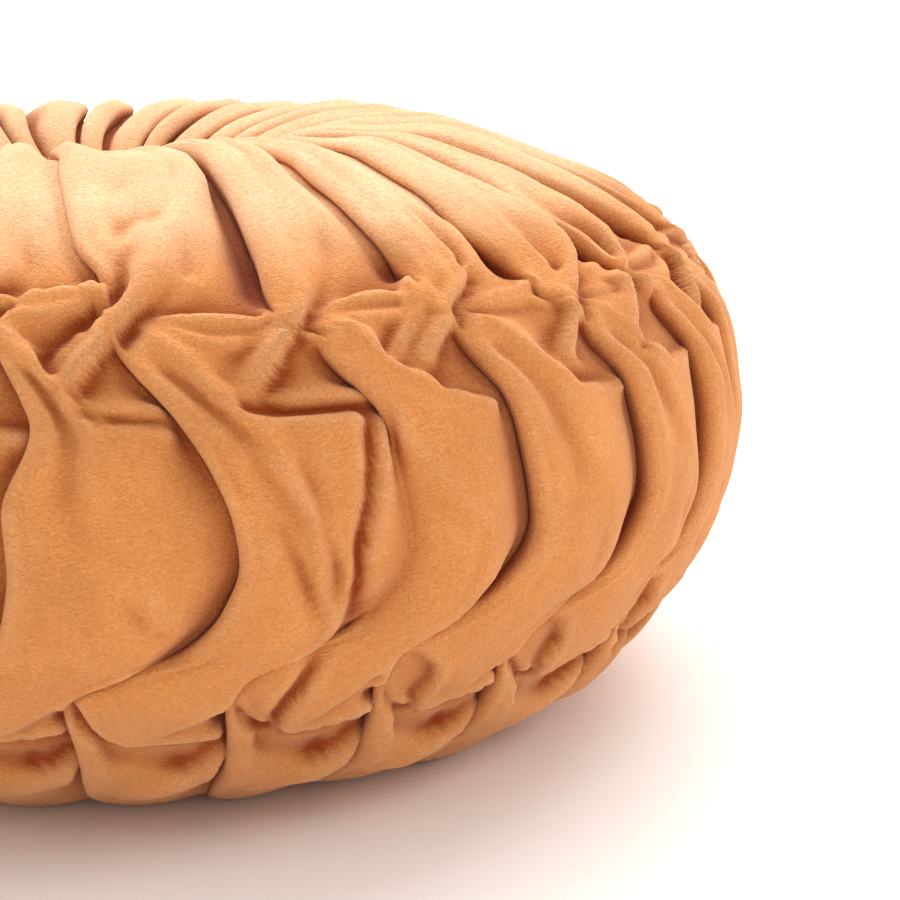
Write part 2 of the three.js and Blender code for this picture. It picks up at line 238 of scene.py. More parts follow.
CREASES = {
    "above the band": [[.36, 15.55, -3.4], [.48, 15.4, -4.6], [.66, 15.32, -5.6], [.86, 15.3, -6.2]],
    "right of the neck": [[.48, 15.15, -2.6], [.38, 15.55, -3.2], [.3, 15.8, -3.4], [.235, 16.02, -3.2],
        [.175, 16.25, -3.2], [.1, 16.5, -3.2], [.04, 16.7, -3.2]],
    "band's groove": [[.28, 16.1, -3], [.42, 16.22, -2.2], [.6, 16.24, -2.4], [.8, 16.12, -2.9]],
    "blade's left foot": [[.95, 16.12, -2], [.89, 16.45, -3.4], [.8, 16.72, -4.2], [.69, 17.02, -4.8],
        [.59, 17.36, -5], [.53, 17.66, -4.2]],
    "blade's right foot": [[.97, 17, -3.4], [.86, 17.35, -3.4], [.74, 17.7, -3.4], [.63, 18.07, -3.4],
        [.57, 18.36, -3.4]],
    "above the panel": [[.58, 18.56, -3.4], [.76, 18.68, -3.4], [.96, 18.76, -4]],
    "panel, groove": [[.17, 17.6, -1.2], [.22, 18.3, -1.2], [.26, 19.2, -.8], [.3, 20.3, 0],
        [.32, 21.2, .8]],
    "beside the leaf": [[.1, 25.28, -1.9], [.22, 25.42, -2.2], [.31, 25.75, -2.3], [.35, 26.2, -2.4],
        [.31, 26.8, -2.5], [.32, 27.2, -3.2]],
    "petal's inner edge": [[.03, 26.15, -3.4], [.09, 26.6, -3.8], [.18, 27.25, -4.2], [.29, 27.46, -4.4]],
    "under the leaf": [[.96, 26.05, -1.4], [.9, 26.26, -1.4], [.8, 26.55, -1.3], [.7, 26.8, -1.1],
        [.6, 27, -.8]],
    "under the flap": [[.4, 27.66, -3.6], [.54, 27.52, -5.2], [.69, 27.42, -6.2], [.85, 27.32, -6.8],
        [.96, 27.24, -7.2]],
    "petal's hollow": [[.24, 27.7, -2.4], [.36, 28.1, -3], [.52, 28.4, -3.4], [.66, 28.5, -3.5],
        [.8, 28.4, -3.7], [.93, 28.15, -4.4]],
}
# Creases that each fold shows more or less of, by a column of FOLDS.
SOMETIMES = {
    "left of the tube": ["split", [[.24, 12.6, .6], [.2, 14, -1.6], [.13, 14.9, -4], [.07, 15.5, -5.2]]],
    "right of the tube": ["edge", [[.66, 12.8, .6], [.6, 13.7, -1.6], [.54, 14.6, -2.6], [.48, 15.15, -3]]],
}

# The lines that aren't a plain ridge or crease, and those that move with the band across.
KINDS = {
    "top tube": "tube",
    "petal's lobe": "tube",
    "next knot's blade": "blade",
    "petal's hollow": "bowl",
}
BAND_LINES = ["band, upper ridge", "band, lower ridge", "above the band", "band's groove"]

# Soft wrinkles laid over every fold but the one with the join: width and the amount added, both in mm.
WRINKLES = [
    # width, then the line's place, along, amount
    [2.2, [[.42, 22.6, -.2], [.58, 23.2, -.8], [.78, 23.9, -.9]]],
    [2, [[.6, 22.3, .1], [.7, 23, .6], [.86, 23.8, .5]]],
    [1.8, [[.3, 24.2, -.1], [.45, 24.6, -.6], [.62, 24.9, -.2]]],
    [1.8, [[.1, 13.9, 0], [.3, 14.6, -.3], [.4, 14.9, 0]]],
    [2.6, [[.7, 10.5, 0], [.62, 12.5, -.7], [.55, 13.8, -.3]]],
    [1.6, [[.75, 27.9, 0], [.66, 28.6, -.6], [.62, 29.6, 0]]],
    [1.6, [[.46, 26, 0], [.5, 26.5, -.5], [.46, 27, -.1]]],
]

# The front folds' own lines, in degrees around the cushion: kind, the folds they lie in with the lines
# they stand in for there, and degrees, along, height.
OWN_LINES = [
    ["ridge", {0: ["band, upper ridge"]}, [[-18, 15.7, -1.5], [-13.6, 15.45, .6], [-11, 15.3, 1],
        [-8.2, 15.22, 1.2], [-5.9, 15.12, 1.3]]],
    ["ridge", {0: [], 1: []}, [[-5.9, 15.12, 1.3], [-4.7, 14.95, 1.1], [-4, 14.65, .2]]],
    ["ridge", {0: ["band, lower ridge"]}, [[-12, 15.9, .4], [-9, 15.8, .8], [-6.3, 15.55, .7]]],
    ["crease", {0: ["above the band"]}, [[-15, 15.1, -2.8], [-11, 14.9, -3.4], [-8.2, 14.82, -3.8],
        [-6.9, 14.78, -3.8]]],
    ["crease", {0: ["blade's left foot"], 1: []}, [[-2.4, 13.2, .6], [-2.7, 14.1, -2], [-3.1, 14.85, -3.8],
        [-3.6, 15.3, -4], [-4.8, 15.72, -4.2], [-6.8, 16.2, -4.6], [-8, 16.6, -5], [-8.5, 17.05, -5],
        [-8.3, 17.4, -4]]],
    ["ridge", {0: ["band's groove"]}, [[-6, 16.5, -1.2], [-7.5, 17, -1.6], [-8.4, 17.45, -2.4]]],
    ["ridge", {0: ["panel, upper edge"]}, [[-14.8, 16.1, -.8], [-12.7, 16.48, .7], [-10, 17.26, 1.3],
        [-8.1, 17.74, 1.5], [-7.1, 18.14, 1.6], [-5.3, 18.81, 1.4], [-3.5, 19.49, 1.2], [-2.2, 20, 1],
        [-1.2, 20.6, .8]]],
    ["crease", {0: []}, [[-6.3, 18, -.9], [-4.6, 18.55, -1], [-3.3, 19.05, -.5], [-2, 19.55, -.2],
        [-1, 20, .2]]],
    ["ridge", {0: []}, [[-4.6, 18.36, -.9], [-1.8, 18.46, -.8], [.2, 18.5, -1.2]]],
    ["crease", {0: ["above the panel"]}, [[-5.7, 18.54, -2.4], [-2.7, 18.69, -3.2], [1, 18.75, -3.2]]],
    ["ridge", {0: []}, [[-4, 18.95, -.2], [-1.6, 18.96, -.3], [.6, 19, -.5]]],
    ["tube", {1: ["top tube"]}, [[-1.5, 3.4, .8], [4.5, 7.5, .8], [6.1, 10.2, 1.8], [1.8, 13, 2.5],
        [-.3, 14.4, 2.7]]],
    ["blade", {0: ["next knot's blade"], 1: []}, [[-.3, 14.4, 2.7], [-1, 15.2, 2.6], [-2.1, 15.75, 2.5],
        [-3.1, 16.15, 2.4], [-4.1, 16.7, 2.2], [-5.2, 17.15, 2], [-6.2, 17.5, 1.5], [-7.2, 17.85, .6],
        [-7.8, 18.05, -.6]]],
    ["crease", {0: ["blade's right foot"], 1: ["right of the neck"]}, [[3.4, 14.8, -.4], [1.9, 15.3, -2.2],
        [.5, 15.7, -3.4], [-.9, 16.12, -3.6], [-2.4, 16.72, -3.4], [-3.8, 17.3, -3.4], [-5, 17.8, -3.2],
        [-5.8, 18.12, -2.8]]],
    ["crease", {1: ["above the band"]}, [[1.2, 15.6, -3.8], [3.4, 15.68, -5], [6, 15.74, -6.2],
        [9, 15.74, -7]]],
    ["ridge", {1: ["band, upper ridge"]}, [[-.1, 15.98, -1.6], [2.4, 16.12, -.3], [5.3, 16.22, 0],
        [9, 16.3, -.8]]],
    ["ridge", {1: ["band, lower ridge"]}, [[-.7, 16.15, -1.8], [1.2, 16.4, -.6], [2.8, 16.64, -.2],
        [4.9, 16.88, -.1], [7.1, 16.9, -.2], [9.6, 16.62, -.8]]],
    ["crease", {1: ["band's groove"]}, [[1.8, 16.26, -1.4], [4.5, 16.5, -1.6], [8.4, 16.48, -1.8]]],
    ["ridge", {1: ["panel, upper edge"]}, [[-.6, 16.2, -.8], [.2, 16.58, .5], [2.4, 17.3, 1.2],
        [4.6, 18.05, 1.5], [6.4, 18.62, 1.4], [8.4, 18.86, .9], [12, 18.98, .9], [15.9, 19, .6]]],
    ["crease", {1: ["above the panel"]}, [[6.8, 18.5, -2.6], [8.9, 18.62, -3.8], [12, 18.7, -4.4],
        [16.6, 18.7, -4.4]]],
    ["ridge", {1: []}, [[8.6, 18.22, -1.6], [11, 18.3, -1], [13.6, 18.32, -.9], [17.2, 18.36, -1.2]]],
    ["ridge", {1: []}, [[-16, 7.1, 3.4], [-11.6, 9, 2.8], [-7.6, 11.2, 1.6], [-5.6, 13, 1]]],
    ["crease", {1: []}, [[-6.5, 7.1, -.4], [-4.6, 9.2, -.2], [-3.6, 11.6, .3], [-3.4, 12.8, -.3]]],
    ["tube", {2: ["top tube"]}, [[13.5, 7, 2], [14, 9, 2.4], [13.8, 11, 2.4], [13.2, 13, 2.2],
        [13, 14.4, 2.4], [12.9, 15.4, 2.4]]],
    ["crease", {1: ["blade's left foot"]}, [[9.6, 16.35, -1.8], [8, 16.85, -2], [6.6, 17.3, -2],
        [5.9, 17.65, -1.4]]],
    ["blade", {1: ["next knot's blade"], 2: []}, [[12.9, 15.4, 2.4], [12.6, 16, 2.3], [11.6, 16.45, 2.2],
        [10.5, 16.9, 2.1], [9.4, 17.35, 1.7], [8.4, 17.8, 1], [7.6, 18.1, -.2]]],
    ["ridge", {2: []}, [[17.6, 7.6, 2.6], [18.4, 9, 2.6], [18.6, 11.2, 2.6], [18.9, 12.3, 2.1],
        [18.9, 13, 1.2]]],
    ["crease", {1: ["blade's right foot"], 2: ["right of the tube", "right of the neck"]}, [[20.2, 12.6, .6],
        [19.2, 13.7, -1.6], [17.6, 14.8, -2.8], [16.1, 15.5, -3.4], [14.8, 16.05, -3.4], [13.6, 16.45, -3.2],
        [12.5, 16.9, -3.4], [11.2, 17.35, -3.4], [9.8, 17.85, -3.4], [8.6, 18.3, -3.4]]],
    ["ridge", {2: ["panel, upper edge"]}, [[14.9, 16.35, -.8], [16.2, 16.5, .4], [17.4, 16.85, 1],
        [18.9, 17.5, 1.3], [20.1, 17.9, 1.3], [21.5, 18.2, 1.1], [24.8, 18.7, .6], [27.8, 19.05, -.2]]],
    ["blade", {2: ["next knot's blade"], 3: []}, [[28.5, 13.2, 2.2], [26.9, 14.5, 2.2], [25.2, 15.4, 2.1],
        [23.2, 16.4, 1.7], [21.2, 17.1, 1], [19.9, 17.6, -.3]]],
    ["ridge", {2: [], 3: []}, [[33, 12.4, 1], [34, 13.6, 1.4], [33.8, 14.4, 1.6], [32.4, 15, 1.9],
        [31, 15.35, 2.1], [29.2, 15.8, 2.4], [27, 16.35, 2.3], [25.2, 16.95, 1.9], [23.1, 17.55, .7]]],
    ["ridge", {3: []}, [[29.6, 12, 2.4], [30.8, 13.4, 2.2], [31, 14.6, 2.1], [29.8, 15.3, 2.2]]],
    ["crease", {2: ["above the band"]}, [[16.8, 15.6, -3], [19.2, 15.36, -4.4], [22.6, 15.3, -5.2]]],
    ["ridge", {2: ["band, upper ridge"]}, [[14.9, 16.06, -1.4], [16.4, 15.92, -.3], [18.8, 15.74, .2],
        [21.1, 15.74, .3], [23.4, 15.86, .1]]],
    ["ridge", {2: ["band, lower ridge"]}, [[15, 16.32, -1.4], [18.2, 16.38, -.2], [22, 16.34, -.2]]],
    ["crease", {2: ["band's groove"]}, [[16, 16.12, -1.4], [18.8, 16.04, -1.6], [22.2, 16.1, -1.6]]],
    ["crease", {2: ["blade's left foot"]}, [[23.6, 16.2, -1.4], [22.5, 16.55, -2.4], [21.2, 16.9, -3.2],
        [20, 17.25, -3.4], [19.4, 17.5, -2.8]]],
    ["crease", {2: ["above the panel"]}, [[24.4, 18.4, -3], [26.6, 18.66, -3.4], [28.8, 18.86, -3.6]]],
    ["ridge", {2: ["leaf, left edge"]}, [[13.6, 24.75, .2], [13, 25.15, .7], [12.3, 25.6, 1],
        [11.5, 26.1, 1.2], [10.8, 26.6, 1.1], [10.3, 27.1, .7]]],
    ["crease", {2: ["beside the leaf"]}, [[12.4, 24.72, -2.2], [11.8, 25.2, -2.8], [11.1, 25.7, -3.2],
        [10.3, 26.2, -3.4], [9.6, 26.7, -3.4], [9.2, 27.1, -3.8]]],
    ["ridge", {2: []}, [[10.6, 24.95, -.9], [9.8, 25.5, -.6], [8.8, 26.1, -.6], [8.3, 26.6, -.8]]],
    ["ridge", {2: ["leaf, lower edge"]}, [[19.4, 24.85, .8], [17.4, 25.4, 1.3], [15.1, 25.97, 1.6],
        [12.8, 26.6, 1.5], [10.7, 27.15, .8]]],
    ["crease", {2: ["under the leaf"]}, [[17.4, 25.75, -1.4], [15.8, 26.12, -1.5], [13.8, 26.66, -1.3],
        [12, 27.08, -.8]]],
    ["ridge", {2: ["petal's flap"]}, [[10.9, 27.38, .3], [13.1, 27.26, .3], [15.7, 27.1, .2],
        [17.8, 26.94, -.1]]],
    ["crease", {2: ["under the flap"]}, [[10.2, 27.68, -3.4], [13.1, 27.56, -5.2], [15.7, 27.4, -6.2],
        [17.8, 27.26, -6.8]]],
    ["crease", {2: [], 3: []}, [[27.6, 15.6, 1], [25.3, 16.5, -.2], [22.6, 17.1, -1.2], [20.8, 17.7, -2.2]]],
    ["ridge", {3: ["band, upper ridge"], 4: []}, [[28.9, 16.2, -1.2], [33.3, 16.2, -.2], [37.8, 16.06, .6],
        [40.4, 15.86, 1.1], [41.6, 15.5, 1.3], [41.4, 15, 1.5], [41.7, 13.8, 1.8], [42.1, 12.7, 2]]],
    ["crease", {4: ["left of the tube"]}, [[44.2, 12.2, 2.2], [43.6, 13.2, 1.2], [43.2, 14.2, -.4],
        [43, 15, -1.6], [42.9, 15.6, -2]]],
    ["ridge", {3: ["band, lower ridge"]}, [[28.7, 16.34, -1.6], [32, 16.46, -.6], [35.4, 16.46, -.4],
        [38.6, 16.66, -.8]]],
    ["blade", {3: ["next knot's blade"], 4: ["top tube"]}, [[44, 8.5, 2.2], [46.4, 11, 2.5], [47.8, 13, 2.6],
        [48.2, 14.2, 2.6], [45.6, 15.5, 2.4], [43.6, 16.1, 2.3], [41.6, 16.8, 2.2], [39.6, 17.5, 1.8],
        [38, 18.1, .4]]],
    ["crease", {3: ["blade's right foot"], 4: ["right of the neck", "right of the tube"]}, [[50, 14.2, -.6],
        [49, 14.9, -2], [47.3, 15.6, -2.9], [45.3, 16.2, -3.2], [43.2, 16.9, -3.4], [41.3, 17.6, -3.4],
        [39.8, 18.2, -3.4]]],
    ["crease", {4: ["above the band"]}, [[48.4, 15.5, -2.8], [49.6, 15.4, -4.2]]],
    ["ridge", {4: ["band, upper ridge", "band's groove"]}, [[46.6, 16, -1.4], [48.2, 15.98, -.6],
        [49.8, 15.95, -1.4]]],
    ["ridge", {4: ["band, lower ridge"]}, [[45.2, 16.6, -1.4], [47.2, 16.7, -.6], [48.8, 16.8, -1.2]]],
    ["blade", {4: ["next knot's blade"], 5: ["top tube"]}, [[55.5, 8.5, 2.2], [58, 11, 2.6],
        [57.6, 12.8, 2.6], [57, 13.9, 2.6], [55.9, 15, 2.5], [53.4, 16, 2.4], [50.3, 17.05, 2.1],
        [48.3, 17.85, 1.4], [47.2, 18.3, .2]]],
    ["crease", {4: ["blade's right foot"], 5: ["right of the neck"]}, [[59, 13.7, .6], [58, 15, -1.8],
        [55.3, 16.1, -3], [52.2, 17.15, -3.4], [50.1, 17.95, -3.4], [48.6, 18.5, -3.4]]],
    ["crease", {1: []}, [[16.2, 18.7, -4.2], [17, 19, -3.6], [16.9, 19.5, -3.2], [16.5, 20.4, -3],
        [15.8, 21.6, -3], [15.3, 22.4, -3], [15.2, 23.8, -3.2]]],
    ["ridge", {1: []}, [[17.9, 19.1, -.4], [17.7, 19.6, .3], [17.4, 20.4, .6], [16.9, 21.5, .6],
        [16.5, 22.4, .3], [16.2, 23.3, -.4]]],
    ["ridge", {1: []}, [[14.9, 19.2, .5], [15.2, 20, .6], [15, 20.8, .5], [14.5, 21.6, .4], [14, 22.4, .4],
        [13.9, 23.2, .2]]],
    ["blade", {2: ["panel, lip tube", "panel, groove", "panel, crest"]}, [[13.9, 17.3, .2],
        [15.2, 17.8, 1.2], [17.2, 18.4, 1.8], [19.2, 19.1, 2.3], [21.4, 20.1, 2.8], [24, 21.1, 3.1],
        [26, 21.7, 3], [26.6, 22.6, 2.6], [25.4, 23.5, 1.9], [22.8, 24.3, 1.2]]],
    ["ridge", {1: ["leaf, left edge"]}, [[-7, 25.5, -.4], [-6.5, 25.95, .4], [-5.8, 26.4, .8],
        [-4.9, 26.95, .9], [-3.8, 27.35, .5]]],
    ["crease", {1: ["beside the leaf"]}, [[-7.6, 26.1, -3.6], [-6.8, 26.7, -4.4], [-5.4, 27.3, -4.8]]],
    ["ridge", {1: ["rounded flap"]}, [[-4.4, 27.2, .2], [-3.8, 27.35, .4]]],
    ["ridge", {1: ["leaf, lower edge"]}, [[12, 24.5, .8], [8.3, 25.05, 1.2], [5.2, 25.8, 1.4],
        [3.9, 26.1, 1.5], [2.2, 26.5, 1.5], [.4, 26.8, 1.3], [-1.6, 27.1, 1], [-3.5, 27.38, .5]]],
    ["crease", {1: ["under the leaf"]}, [[4.3, 26.3, -1.4], [3.2, 26.5, -1.3], [1.5, 26.86, -1.1],
        [-.2, 27.08, -.8], [-1.6, 27.25, -.4]]],
    ["ridge", {1: ["petal's flap"]}, [[-3, 27.42, .3], [-1.2, 27.42, .3], [1.5, 27.42, .2],
        [4.2, 27.44, -.1]]],
    ["crease", {1: ["under the flap"]}, [[-4, 27.72, -3.4], [-1.5, 27.74, -5], [1.5, 27.74, -6],
        [4.2, 27.74, -6.8]]],
]

# The front folds' own soft wrinkles.
OWN_WRINKLES = [
    # width, folds, then the line's degrees, along, amount
    [2.4, [1], [[7.3, 19.4, .6], [8.6, 19.8, 1.6], [9.8, 20.3, 2.2], [11.2, 21, 2.2], [12, 21.7, 1.8],
        [12.6, 22.6, 1]]],
    [2.2, [1], [[10.6, 19.3, -.4], [11.2, 20.2, -1.6], [12.2, 21.2, -1.9], [13, 22.1, -1.4],
        [13.9, 23.1, -.6]]],
    [2.2, [1], [[7.4, 20.9, 0], [9.3, 21.5, -1.4], [10.4, 22.3, -2], [11.2, 22.95, -1.9],
        [12.2, 23.6, -.9]]],
    [1.8, [1], [[11.2, 22.2, 0], [12, 22.9, 1.2], [12.9, 23.5, 1.2], [13.4, 23.9, .4]]],
    [3.2, [1], [[3.3, 18.6, -.4], [5, 19.5, -1.3], [6, 20.3, -1.7], [7, 21, -1.1], [7.6, 22, 0]]],
    [4.2, [1], [[1.8, 12.6, -.4], [.4, 12.3, -1.2], [-1.2, 12.15, -1.5], [-2.7, 12.4, -1.5],
        [-3.4, 12.9, -.7]]],
    [1.8, [1], [[-6.5, 12.3, -.3], [-6.1, 12.9, -1.1], [-5.8, 13.5, -.4]]],
]

# The join of the cloth's two ends: its line in degrees and along, with a pucker at every stitch, in mm.
JOIN = [[17.1, 19.1], [16.9, 19.5], [16.5, 20.4], [15.8, 21.6], [15.3, 22.4], [15.2, 23.7]]
STITCH = 3.4
PUCKER_HEIGHT = .4
PUCKER_LEFT, PUCKER_RIGHT = 1.6, 5.0
PUCKER_CLEAR = .8
JOIN_FADES = .4


# Curves.
def through(table, wanted):
    """Smooth values at the wanted places along a table, with no overshoot between its rows."""
    table = np.array(table, dtype=float)
    at, values = table[:, 0], table[:, 1:]
    step = np.diff(at)[:, None]
    slope = np.diff(values, axis=0) / step
    same = slope[1:] * slope[:-1] > 0
    soft = np.where(same, 2 * slope[1:] * slope[:-1] / np.where(same, slope[1:] + slope[:-1], 1), 0)
    lean = np.vstack([slope[:1], soft, slope[-1:]])
    i = np.clip(np.searchsorted(at, wanted) - 1, 0, len(at) - 2)
    h = step[i]
    t = ((wanted - at[i])[:, None]) / h
    return (
        values[i] * (2 * t**3 - 3 * t**2 + 1)
        + values[i + 1] * (3 * t**2 - 2 * t**3)
        + lean[i] * h * (t**3 - 2 * t**2 + t)
        + lean[i + 1] * h * (t**3 - t**2)
    )


def share(value, start, over):
    """How far a value is along the way from a start, from 0 to 1."""
    return np.clip((value - start) / over, 0, 1)


def ease(x):
    """The same share with a soft start and a soft end."""
    x = np.clip(x, 0, 1)
    return x * x * (3 - 2 * x)


# The rings: from, to and spacing, in cm along the cloth.
RING_BANDS = [
    [1.3, 7.0, .38], [7.0, 14.6, .26], [14.6, 17.3, .105], [17.3, 19.2, .13], [19.2, 24.4, .23],
    [24.4, 28.2, .12], [28.2, 30.2, .15], [30.2, 33.0, .4], [33.0, 43.6, 1.2],
]
CLEAR_SHARE = .3
rows = np.concatenate(
    [np.arange(start, end - step * CLEAR_SHARE, step) for start, end, step in RING_BANDS]
    + [[RING_BANDS[-1][1]]]
)
ring_count = len(rows)

# Each ring's radius and height, its way off the outline, and the mm in a degree on it.
shape = through(OUTLINE, rows)
radius, height = shape[:, 0], shape[:, 1]
run, rise = np.gradient(radius, rows), np.gradient(height, rows)
size = np.hypot(run, rise)
normal_out, normal_up = -rise / size, run / size
degree = np.radians(1) * radius

# The top ends, and the part below the widest ring starts, at these places along the cloth, in cm.
TOP_ENDS, TOP_FADES = 13.6, 1.4
DIMPLE_ENDS = 7
LOWER_PART = 20


def felt(name, along):
    """How much of a change of the lips is felt at each place along the cloth."""
    start, rising, end, falling = FELT[name]
    return ease((along - start) / rising) * (1 - ease((along - end) / falling))


over_top = 1 - ease((rows - TOP_ENDS) / TOP_FADES)
on_side = felt("side", rows)
near_middle = 1 - ease((radius - OFFSET_FADES[0]) / (OFFSET_FADES[1] - OFFSET_FADES[0]))
offset = np.where(rows > LOWER_PART, 0, DIMPLE_OFFSET * near_middle)

# All unevenness is seeded. A point of a line is off by a usual and at most a largest amount: its place, its
# cm along and its height's share.
random = np.random.default_rng(27)
UNEVEN = [[.012, .02], [.04, .07], [.12, .25]]

# The lips.
LIP_NAMES = "turn knot swing petal fan height roll tuck beside under".split()
LIP_PROFILE = ["height", "roll", "tuck", "beside", "under"]
FOLD_NAMES = "top knot swing petal fan deep stand pit split edge drop band curl".split()
SHIFT_NAMES = "start gap early wide low fades".split()


def fold_of(i):
    """The traits of fold i by name, counted on around the cushion."""
    return dict(zip(FOLD_NAMES, FOLDS[i % FOLD_COUNT]))


def lip_of(i):
    """The lip of fold i on every ring: its angle, height, roll and tuck, and the cloth beside it."""
    fold = fold_of(i)
    shift = dict(zip(SHIFT_NAMES, SHIFTS.get(i % FOLD_COUNT, [0] * len(SHIFT_NAMES))))
    way = rows - fold["drop"] * felt("drop", rows)
    for name in ("early", "low"):
        way = way + shift[name] * felt(name, rows)
    lip = dict(zip(LIP_NAMES, through(LIP, way).T))
    angle = FIRST_KNOT_AT + PITCH * i + lip["turn"] + fold["top"] * over_top
    for name in ("knot", "swing", "petal", "fan"):
        angle = angle + fold[name] * lip[name]
    lip["angle"] = angle + shift["start"] * felt("start", rows) - shift["wide"] * felt("wide", rows)
    gap = shift["start"] * np.exp(-(((rows - GAP_AT) / GAP_WIDTH) ** 2))
    for name in ("height", "beside", "under"):
        lip[name] = lip[name] - gap * shift["gap"]
    faded = shift["fades"] * felt("fades", rows)
    for name, value in FADED.items():
        lip[name] = lip[name] + (value - lip[name]) * faded
    if fold["curl"]:
        curled = through(CURL, np.clip(way, CURL[0][0], CURL[-1][0])).T
        curling = curled[0] * fold["curl"]
        for name, values in zip(LIP_PROFILE, curled[1:]):
            lip[name] = lip[name] + (values - lip[name]) * curling
    return lip


# How far each kind of line holds the cloth, in mm, how fast the cloth rounds off beside it, how hard it
# holds, and the least hold that counts.
GRIPS = {"ridge": 1.5, "crease": 1.25, "bowl": 2.6, "tube": 2.7, "blade": 1.7}
ROUNDING = {"ridge": .16, "crease": 0, "bowl": -.05, "tube": .09, "blade": .14}
HOLD = 60
LEAST_HOLD = .01

# The cloth beside the next fold's lip is held this hard, and within this many mm.
LIP_HOLD = 20
LIP_REACH = 1.0

# The faintest trait that shows, and the least depth of the hollow beside a blade.
FAINTEST = .1
LEAST_PIT = .4

# How the next fold's stand deepens the cloth, and how much lower a weak lip lies, in mm.
STAND_SHARE = .6
STAND_DROP = 1.5

# The filling's swell under the skin, and how much more there is over the top.
SWELL = .024
TOP_SWELL = .03

# Rounds of relaxing and then of smoothing, and the margin without wrinkles beside a lip, in mm.
RELAXING = 600
SMOOTHING = 1
MARGIN = 4


def nearest(across, scale, line):
    """How far each point of a fold is from a line, in mm, and the line's height there."""
    line = np.array(line, dtype=float)
    along = rows[:, None] * 10
    best = np.full(across.shape, 1e9)
    level = np.zeros(across.shape)
    for a, b in zip(line[:-1], line[1:]):
        ax = (a[0] - across) * scale
        ay = a[1] * 10 - along
        bx = (b[0] - across) * scale
        by = b[1] * 10 - along
        dx, dy = bx - ax, by - ay
        t = np.clip(-(ax * dx + ay * dy) / (dx * dx + dy * dy), 0, 1)
        d = np.hypot(ax + t * dx, ay + t * dy)
        near = d < best
        best = np.where(near, d, best)
        level = np.where(near, a[2] + (b[2] - a[2]) * t, level)
    return best, level


def wobble(line):
    """The line with a little hand-sewn unevenness."""
    line = np.array(line, dtype=float)
    place, along, lift = [random.normal(0, usual, len(line)).clip(-most, most) for usual, most in UNEVEN]
    line[:, 0] += place
    line[:, 1] += along
    line[:, 2] *= 1 + lift
    return line


def held(i, place, angle, wide):
    """How hard the lines of fold i hold each point, and that times the height at which they hold it."""
    here, following = fold_of(i), fold_of(i + 1)
    pull, total = np.zeros(place.shape), np.zeros(place.shape)

    def hold(across, scale, line, kind, amount=1):
        """Adds one ridge or crease."""
        d, level = nearest(across, scale, line)
        w = np.exp(-((d / GRIPS[kind]) ** 4)) * HOLD * amount
        w[w < LEAST_HOLD] = 0
        pull[:] += w
        total[:] += w * (level - ROUNDING[kind] * d**2)

    def set_here(line):
        """A general line with this fold's unevenness and its knots' drops."""
        line = wobble(line)
        mix = line[:, 0].clip(0, 1)
        line[:, 1] += (here["drop"] * (1 - mix) + following["drop"] * mix) * felt("drop", line[:, 1])
        return line

    replaced = [name for _, stands_in, _ in OWN_LINES for name in stands_in.get(i, [])]
    for lines, usual in ((RIDGES, "ridge"), (CREASES, "crease")):
        for name, line in lines.items():
            if name in replaced:
                continue
            line = set_here(line)
            if name in BAND_LINES:
                line[:, 1] += here["band"]
            if name == "above the band":
                line[1:, 2] *= following["deep"]
            if name == "blade's left foot":
                line[:, 2] *= LEAST_PIT + (1 - LEAST_PIT) * following["pit"]
            hold(place, wide, line, KINDS.get(name, usual))
    for name, (trait, line) in SOMETIMES.items():
        if name not in replaced and here[trait] > FAINTEST:
            hold(place, wide, set_here(line), "crease", here[trait] ** 3)
    for kind, stands_in, line in OWN_LINES:
        if i in stands_in:
            hold(angle, degree[:, None], line, kind)
    return pull, total


def relaxed(h, first, last, pull, goal, step_x, step_y):
    """A skin held along both edges, filled from below and drawn to its goal."""
    ew = step_y / step_x
    ns = step_x / step_y
    swell = (SWELL + TOP_SWELL * over_top[:, None]) * step_x * step_y
    both = 2 * ew + 2 * ns
    for _ in range(RELAXING):
        up = np.vstack([h[:1], h[:-1]])
        down = np.vstack([h[1:], h[-1:]])
        west = np.hstack([h[:, :1], h[:, :-1]])
        east = np.hstack([h[:, 1:], h[:, -1:]])
        h = (ew * (west + east) + ns * (up + down) + swell + pull * goal * both) / (both * (1 + pull))
        h[:, 0] = first
        h[:, -1] = last
    for _ in range(SMOOTHING):
        around = h[:-2, 1:-1] + h[2:, 1:-1] + h[1:-1, :-2] + h[1:-1, 2:]
        h[1:-1, 1:-1] += .5 * (.25 * around - h[1:-1, 1:-1])
    return h


def wrinkle(across, scale, width, line):
    """A soft wrinkle along a line, in mm."""
    d, amount = nearest(across, scale, line)
    return amount * np.exp(-((d / width) ** 2))


def puckers(angle):
    """The small puckers at the stitches of the join, in mm."""
    d, _ = nearest(angle, degree[:, None], [[a, b, 0] for a, b in JOIN])
    beyond = angle - np.interp(rows, [b for a, b in JOIN], [a for a, b in JOIN])[:, None]
    reach = np.where(beyond > 0, PUCKER_RIGHT, PUCKER_LEFT)
    span = ease((rows - JOIN[0][1]) / JOIN_FADES) * ease((JOIN[-1][1] - rows) / JOIN_FADES)
    waves = PUCKER_HEIGHT * np.sin(math.tau * rows[:, None] * 10 / STITCH)
    return waves * np.exp(-d / reach) * span[:, None] * (d > PUCKER_CLEAR)


